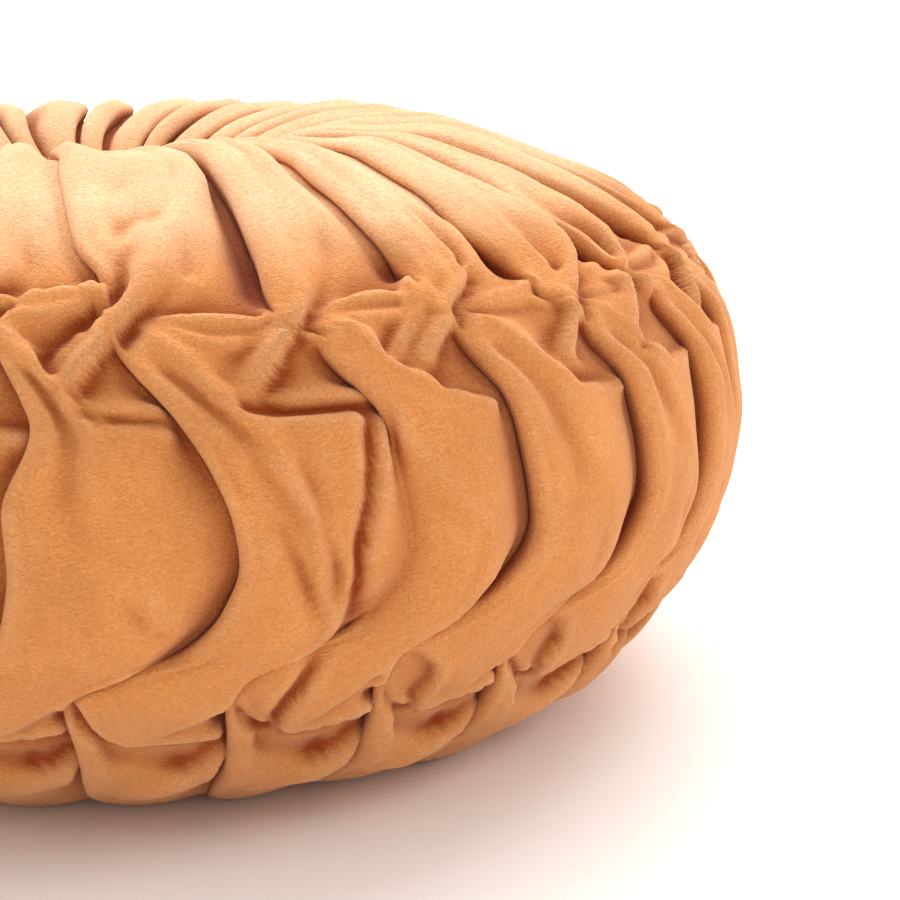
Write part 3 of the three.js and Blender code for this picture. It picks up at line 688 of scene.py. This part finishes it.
def fold_relief(i, columns):
    """The angle and the height off the outline of every point of one fold, from lip to tuck."""
    here, following = fold_of(i), fold_of(i + 1)
    lip, next_lip = lip_of(i), lip_of(i + 1)
    left, right = lip["angle"], next_lip["angle"]
    wide = ((right - left) * degree)[:, None]
    near = lip["roll"][:, None] / wide
    far = 1 + next_lip["tuck"][:, None] / wide
    q = np.linspace(0, 1, columns)[None, :]
    place = near + (far - near) * q
    angle = left[:, None] + place * (right - left)[:, None]
    step_x = (far - near) * wide / (columns - 1)
    step_y = np.gradient(rows * 10)[:, None]

    stand = here["stand"]
    first = lip["height"] * (1 + (stand - 1) * on_side) - (1 - stand) * STAND_DROP * on_side
    deepened = 1 + (following["deep"] - 1) * over_top * (rows > DIMPLE_ENDS)
    deepened = deepened + (following["stand"] - 1) * STAND_SHARE * on_side
    beside, last = next_lip["beside"] * deepened, next_lip["under"] * deepened

    pull, total = held(i, place, angle, wide)
    edge = np.exp(-(((place - 1) * wide / LIP_REACH) ** 2)) * LIP_HOLD
    pull += edge
    total += edge * beside[:, None]
    goal = total / np.maximum(pull, 1e-9)
    flat = first[:, None] + (last - first)[:, None] * q
    h = relaxed(flat, first, last, pull, goal, step_x, step_y)

    inside = ease(place * wide / MARGIN) * ease((1 - place) * wide / MARGIN)
    for width, line in WRINKLES:
        line = wobble(line)
        if i != SEAM_FOLD:
            h += wrinkle(place, wide, width, line) * inside
    for width, folds, line in OWN_WRINKLES:
        if i in folds:
            h += wrinkle(angle, degree[:, None], width, line) * inside
    if i == SEAM_FOLD:
        h += puckers(angle)
    return angle, h, first, lip


# The three columns of a lip's rim: where they lie and how far below the lip, as shares of its tuck or roll,
# and their shares of the cloth beside it and of the lip where the tuck is too small to lap over.
RIM_COLUMNS = 3
RIM_TUCK, RIM_EDGE, RIM_SHOULDER = .42, .02, .22
EDGE_DROP, SHOULDER_DROP = .85, .3
UNLAPPED = [[.6, .4], [.3, .7]]
LAP_FROM, LAP_OVER = -.6, 1.3


def rim_of(lip, first, beside):
    """The angles and heights of the three columns of a lip's rim."""
    left = lip["angle"]
    tuck, roll = lip["tuck"] / degree, lip["roll"] / degree
    side = np.stack([left + RIM_TUCK * tuck, left - RIM_EDGE * roll, left + RIM_SHOULDER * roll], axis=1)
    edge = first - EDGE_DROP * lip["roll"]
    under = .5 * edge + .5 * beside
    rolled = np.stack([under, edge, first - SHOULDER_DROP * lip["roll"]], axis=1)
    plain = np.stack([beside * low + first * high for low, high in UNLAPPED] + [first], axis=1)
    lapped = ease((lip["tuck"] - LAP_FROM) / LAP_OVER)
    return side, plain + (rolled - plain) * lapped[:, None]


def cover_field():
    """Angle, height and lap of every point of the cover."""
    angles, heights, laps = [], [], []
    for i in range(FOLD_COUNT):
        columns = FRONT_COLUMNS if i in FRONT_FOLDS else BACK_COLUMNS
        angle, h, first, lip = fold_relief(i, columns)
        beside = lip["under"] * (1 + (fold_of(i)["deep"] - 1) * over_top)
        side, rim = rim_of(lip, first, beside)
        angles += [side, angle]
        heights += [rim, h]
        laps += [np.ones((ring_count, RIM_COLUMNS)), np.zeros((ring_count, columns))]
    return np.hstack(angles), np.hstack(heights), np.hstack(laps)


# The cover's shape. The give of the filling: how many waves, their lengths and their height, in mm.
WAVES = 26
WAVE_LENGTHS = (13, 42)
WAVE_HEIGHT = .12

# The crown sinks and leans back a little, in mm.
CROWN_TILT, TILT_REACH = 1.7, 80
CROWN_SINK = .3
CROWN_FROM, CROWN_OVER = 130, 25

# Steep steps lean over what they lie on, by a share of their height, but not beside a lip.
OVERHANG = .9
STEEP_FROM, STEEP_OVER = .2, .45
LAP_CLEAR = .3
MEAN_PASSES, LAP_PASSES, PUSH_PASSES = 12, 4, 3
TINY = 1e-6


def spread(field, passes, amount=.5):
    """The field softened along and across the rings."""
    for _ in range(passes):
        across = .5 * (np.roll(field, 1, axis=1) + np.roll(field, -1, axis=1))
        along = .5 * (np.concatenate([field[:1], field[:-1]]) + np.concatenate([field[1:], field[-1:]]))
        field = field + amount * (.5 * across + .5 * along - field)
    return field


def on_outline(angle, relief):
    """Points in mm for angles in degrees and heights off the outline."""
    theta = np.radians(angle)
    out = radius[:, None] + relief * normal_out[:, None]
    x = out * np.sin(theta) + offset[:, None]
    y = -out * np.cos(theta)
    return np.stack([x, y, height[:, None] + relief * normal_up[:, None]], axis=2)


def unevenness(points):
    """The give of a soft filling: small seeded waves, in mm."""
    total = np.zeros(points.shape[:2])
    for _ in range(WAVES):
        facing = random.normal(size=3)
        facing /= np.linalg.norm(facing)
        length = random.uniform(*WAVE_LENGTHS)
        phase = random.uniform(0, math.tau)
        total += np.sin(points @ facing * math.tau / length + phase) * length / WAVE_LENGTHS[1]
    return total * WAVE_HEIGHT


def overhung(points, base, relief, mean, lap):
    """The points moved so that steep steps lean over what they lie on."""
    across = np.roll(base, -1, axis=1) - np.roll(base, 1, axis=1)
    along = np.gradient(base, axis=0) * 2
    a2 = (across**2).sum(2)
    b2 = (along**2).sum(2)
    ab = (across * along).sum(2)
    grow_a = np.roll(mean, -1, axis=1) - np.roll(mean, 1, axis=1)
    grow_b = np.gradient(mean, axis=0) * 2
    det = a2 * b2 - ab**2 + TINY
    by_across = (b2 * grow_a - ab * grow_b) / det
    by_along = (a2 * grow_b - ab * grow_a) / det
    slope = by_across[..., None] * across + by_along[..., None] * along
    steep = np.linalg.norm(slope, axis=2)
    unlapped = 1 - spread(lap, LAP_PASSES).clip(0, LAP_CLEAR) / LAP_CLEAR
    lean = share(steep, STEEP_FROM, STEEP_OVER) * unlapped
    push = (OVERHANG * (relief - mean) * lean / (steep + TINY))[..., None] * slope
    for axis in range(3):
        points[..., axis] -= spread(push[..., axis], PUSH_PASSES)
    return points


def above_floor(points):
    """The points with none below the floor."""
    points[..., 2] = np.maximum(points[..., 2], 0)
    return points


def smoothed(points):
    """The points drawn halfway to the middle of their four neighbours."""
    soft = points.copy()
    left, right = np.roll(points, 1, axis=1), np.roll(points, -1, axis=1)
    soft[1:-1] = .25 * (points[:-2] + points[2:] + left[1:-1] + right[1:-1])
    return points + .5 * (soft - points)


def new_piece(name, vertices, faces, material):
    """A smooth piece of the scene from its vertices and faces."""
    mesh = bpy.data.meshes.new(name)
    mesh.from_pydata(vertices, [], faces)
    mesh.update()
    mesh.polygons.foreach_set("use_smooth", np.ones(len(mesh.polygons), dtype=bool))
    mesh.materials.append(material)
    piece = bpy.data.objects.new(name, mesh)
    bpy.context.collection.objects.link(piece)
    return piece


def ring_faces(rings, columns, top, bottom):
    """Faces of a closed body of rings, with a fan at each end."""
    ring = np.arange(rings - 1)[:, None] * columns
    here = np.arange(columns)[None, :]
    there = (here + 1) % columns
    quads = np.stack([ring + here, ring + columns + here, ring + columns + there, ring + there], axis=2)
    faces = [tuple(f) for f in quads.reshape(-1, 4).tolist()]
    last = (rings - 1) * columns
    faces += [(top, c, (c + 1) % columns) for c in range(columns)]
    faces += [(bottom, last + (c + 1) % columns, last + c) for c in range(columns)]
    return faces


# The cloth. Its colour is darkened with painted shade deep below the outline or below the cloth around,
# and lightened with a painted highlight on the crown and on crests: from, over how many mm, and the share
# that it gives.
PAINTED_DEEP_SHADE = [.7, 6.5, .75]
PAINTED_CREASE_SHADE = [.1, 1.8, .8]
PAINTED_SHADE_GAIN = 1.25
PAINTED_HIGHLIGHT_FROM, PAINTED_HIGHLIGHT_OVER = 141, 18
PAINTED_SHADE_HIDES_HIGHLIGHT = 2.4
PAINTED_CREST_HIGHLIGHT = [.1, 1.5, .28]
LAP_DIMS_CREST_HIGHLIGHT = .6

# The cloth's own colour, the buttons', and the colours of the painted shade in the hollows and of the
# painted highlight on the crown.
APRICOT = (.69, .28, .084)
BUTTON_APRICOT = (.68, .275, .08)
PAINTED_SHADE_COLOUR = (.33, .054, .005)
PAINTED_HIGHLIGHT_COLOUR = (.90, .555, .315)
PLUSH_SHADER = {
    "Roughness": .85,
    "Sheen Weight": .3,
    "Sheen Roughness": .36,
    "Sheen Tint": (1.0, .83, .66, 1),
    "Specular IOR Level": .15,
}
NAP = {"Scale": 1, "Detail": 2, "Roughness": .55, "Distortion": .8}
NAP_STROKES = {"Rotation": (.3, .45, 0), "Scale": (1050, 1050, 1650)}
NAP_TONES = [[.3, (.88, .72, .56, 1)], [.7, (1.02, 1.10, 1.20, 1)]]
NAP_SHARE = .8
NAP_BUMP = {"Strength": .8, "Distance": .001}
PATCHES = {"Scale": 45, "Detail": 4}
PATCH_TONES = [[.32, (.86, .83, .80, 1)], [.68, (1.05, 1.06, 1.08, 1)]]
PATCH_SHARE = .7


def plush(name, colour):
    """Short-pile plush with a nap, with painted shade in the hollows and a painted highlight on the crown
    and crests.
    """
    material = bpy.data.materials.new(name)
    material.use_nodes = True
    nodes, links = material.node_tree.nodes, material.node_tree.links

    def set_up(node, values):
        """The node with these values on its own sockets."""
        for socket, value in values.items():
            node.inputs[socket].default_value = value
        return node

    def fed(kind, source, socket, values):
        """A new node with these values, fed by a source."""
        node = set_up(nodes.new(kind), values)
        links.new(source, node.inputs[socket])
        return node

    def tones(fac, steps):
        """A ramp of two tones."""
        ramp = fed("ShaderNodeValToRGB", fac, "Fac", {})
        for element, (position, tone) in zip(ramp.color_ramp.elements, steps):
            element.position = position
            element.color = tone
        return ramp.outputs["Color"]

    def mix(blend_type):
        """A new mix of two colours."""
        node = nodes.new("ShaderNodeMix")
        node.data_type = "RGBA"
        node.blend_type = blend_type
        return node

    def painted(attribute, mixed, tone):
        """A tone mixed in by an attribute."""
        amount = nodes.new("ShaderNodeAttribute")
        amount.attribute_name = attribute
        mixed.inputs["B"].default_value = (*tone, 1)
        links.new(amount.outputs["Fac"], mixed.inputs["Factor"])
        return mixed.outputs["Result"]

    def multiplied(base, tone, amount):
        """A colour multiplied by a tone."""
        mixed = mix("MULTIPLY")
        mixed.inputs["Factor"].default_value = amount
        links.new(base, mixed.inputs["A"])
        links.new(tone, mixed.inputs["B"])
        return mixed.outputs["Result"]

    shader = set_up(nodes["Principled BSDF"], PLUSH_SHADER)
    place = nodes.new("ShaderNodeTexCoord")
    strokes = fed("ShaderNodeMapping", place.outputs["Object"], "Vector", NAP_STROKES)
    nap = fed("ShaderNodeTexNoise", strokes.outputs["Vector"], "Vector", NAP)
    patches = fed("ShaderNodeTexNoise", place.outputs["Object"], "Vector", PATCHES)

    # Painted shade: the cloth's colour drawn towards a dark, deep orange by the hollow attribute.
    deepened = mix("MIX")
    deepened.inputs["A"].default_value = (*colour, 1)
    # Painted highlight: a pale colour mixed in on the crown and on crests by the crown attribute.
    painted_highlight_mix = mix("MIX")
    links.new(painted("hollow", deepened, PAINTED_SHADE_COLOUR), painted_highlight_mix.inputs["A"])
    highlighted = painted("crown", painted_highlight_mix, PAINTED_HIGHLIGHT_COLOUR)
    napped = multiplied(highlighted, tones(nap.outputs["Fac"], NAP_TONES), NAP_SHARE)
    worn = multiplied(napped, tones(patches.outputs["Fac"], PATCH_TONES), PATCH_SHARE)
    links.new(worn, shader.inputs["Base Color"])
    bump = fed("ShaderNodeBump", nap.outputs["Fac"], "Height", NAP_BUMP)
    links.new(bump.outputs["Normal"], shader.inputs["Normal"])
    return material


def paint(mesh, attribute, values):
    """Keeps one number for each vertex on the mesh."""
    layer = mesh.attributes.new(attribute, "FLOAT", "POINT")
    layer.data.foreach_set("value", values.astype(np.float32))


# The cover.
TOP_SEAT = [DIMPLE_OFFSET, 0, 133.5]
BOTTOM_SEAT = [0, 0, 22.5]

angle, relief, lap = cover_field()
base = on_outline(angle, 0 * relief)
relief += unevenness(base)
sunk_crown = CROWN_TILT * base[..., 1] / TILT_REACH + CROWN_SINK
relief -= sunk_crown * ease((base[..., 2] - CROWN_FROM) / CROWN_OVER)
mean = spread(relief, MEAN_PASSES)
points = overhung(on_outline(angle, relief), base, relief, mean, lap)
points = above_floor(smoothed(above_floor(points)))

column_count = points.shape[1]
vertices = np.vstack([points.reshape(-1, 3), [TOP_SEAT], [BOTTOM_SEAT]]) * MM
faces = ring_faces(ring_count, column_count, len(vertices) - 2, len(vertices) - 1)
cover = new_piece("plush_cover", vertices.tolist(), faces, plush("apricot_plush", APRICOT))

# Painted shade: how deep each point lies below the outline and below the cloth around it.
deep = share(-relief, PAINTED_DEEP_SHADE[0], PAINTED_DEEP_SHADE[1]) * PAINTED_DEEP_SHADE[2]
painted_shade_depth = deep + share(mean - relief, PAINTED_CREASE_SHADE[0], PAINTED_CREASE_SHADE[1]) * PAINTED_CREASE_SHADE[2]
hollow = np.clip(PAINTED_SHADE_GAIN * painted_shade_depth, 0, 1)
# Painted highlight: paler high on the crown, but not where the painted shade lies.
crown = ease((points[..., 2] - PAINTED_HIGHLIGHT_FROM) / PAINTED_HIGHLIGHT_OVER)
crown = crown * np.clip(1 - PAINTED_SHADE_HIDES_HIGHLIGHT * painted_shade_depth, 0, 1)
# Painted highlight on crests: paler where the cloth stands above the cloth around, less on the lips' rims.
crest = share(relief - mean, PAINTED_CREST_HIGHLIGHT[0], PAINTED_CREST_HIGHLIGHT[1]) * (1 - LAP_DIMS_CREST_HIGHLIGHT * lap)
crown = 1 - (1 - crown) * (1 - PAINTED_CREST_HIGHLIGHT[2] * crest)
# The painted shade and the painted highlight are kept on the mesh for the plush material.
paint(cover.data, "hollow", np.concatenate([hollow.ravel(), [1, 1]]))
paint(cover.data, "crown", np.concatenate([crown.ravel(), [0, 0]]))
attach(cover, "root")
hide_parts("cover")

# The buttons: the rings of their side, as shares of the radius and of the thickness.
BUTTON_SIDE = [[.35, .97], [.62, .86], [.82, .68], [.95, .44], [1, .2], [.97, .02], [.8, 0]]
BUTTON_STEPS = 48
button_plush = plush("button_plush", BUTTON_APRICOT)


def covered_button(name, node, middle, facing):
    """A domed button covered with the same plush."""
    low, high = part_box(node)
    wide = (high[0] - low[0]) / 2
    thick = high[2] - low[2]
    crown_at, foot_at = (high[2], low[2]) if facing > 0 else (low[2], high[2])
    verts = []
    for ratio, lift in BUTTON_SIDE:
        for k in range(BUTTON_STEPS):
            t = math.tau * k / BUTTON_STEPS
            x = middle[0] + ratio * wide * math.cos(t)
            y = middle[1] + ratio * wide * math.sin(t)
            verts.append((x, y, foot_at + facing * lift * thick))
    verts += [(middle[0], middle[1], crown_at), (middle[0], middle[1], foot_at)]
    polys = ring_faces(len(BUTTON_SIDE), BUTTON_STEPS, len(verts) - 2, len(verts) - 1)
    if facing < 0:
        polys = [tuple(reversed(p)) for p in polys]
    button = new_piece(name, verts, polys, button_plush)
    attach(button, "root")
    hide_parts(node)


covered_button("plush_button_top", "button_top", (DIMPLE_OFFSET * MM, 0), 1)
covered_button("plush_button_bottom", "button_bottom", (0, 0), -1)

# The floor.
FLOOR_SIZE = 60
FLOOR_SHADER = {"Base Color": (.96, .95, .94, 1), "Roughness": .6}
bpy.ops.mesh.primitive_plane_add(size=FLOOR_SIZE)
floor = bpy.context.object
floor.name = "floor"
floor_paint = bpy.data.materials.new("pale_floor")
floor_paint.use_nodes = True
for socket, value in FLOOR_SHADER.items():
    floor_paint.node_tree.nodes["Principled BSDF"].inputs[socket].default_value = value
floor.data.materials.append(floor_paint)

# The light: a pale room, and suns with their place, spread in degrees, strength and colour.
ROOM = {"Color": (1.0, .97, .95, 1), "Strength": .86}
SUNS = [
    ["window", (-.42, .78, 1.0), 40, 3.0, (1, .98, .95)],
    ["second window", (.5, .72, 1.0), 40, 1.7, (1, .98, .95)],
    ["side", (1.2, -.15, .8), 26, .7, (1, .97, .94)],
]
world = bpy.data.worlds.new("studio")
bpy.context.scene.world = world
world.use_nodes = True
for socket, value in ROOM.items():
    world.node_tree.nodes["Background"].inputs[socket].default_value = value


def soft_sun(name, at, spread_degrees, strength, colour):
    """A soft sun that shines from a place to the middle."""
    data = bpy.data.lights.new(name, "SUN")
    data.angle = math.radians(spread_degrees)
    data.energy = strength
    data.color = colour
    light = bpy.data.objects.new(name, data)
    bpy.context.collection.objects.link(light)
    light.location = at
    light.rotation_euler = (-Vector(at)).to_track_quat("-Z", "Y").to_euler()


for sun in SUNS:
    soft_sun(*sun)

# The camera: its place in metres, its look down and to the right in radians, and its lens in mm.
CAMERA_AT = (0, -.6403, .2327)
LOOKS_DOWN, LOOKS_RIGHT = .259, .141
LENS, SENSOR = 85.57, 36
NEAREST = .01
camera_data = bpy.data.cameras.new("photo")
camera = bpy.data.objects.new("photo", camera_data)
bpy.context.collection.objects.link(camera)
camera_data.sensor_width = SENSOR
camera_data.lens = LENS
camera_data.clip_start = NEAREST
camera.location = CAMERA_AT
camera.rotation_euler = (math.pi / 2 - LOOKS_DOWN, 0, -LOOKS_RIGHT)
bpy.context.scene.camera = camera
bpy.context.scene.view_settings.view_transform = "Standard"
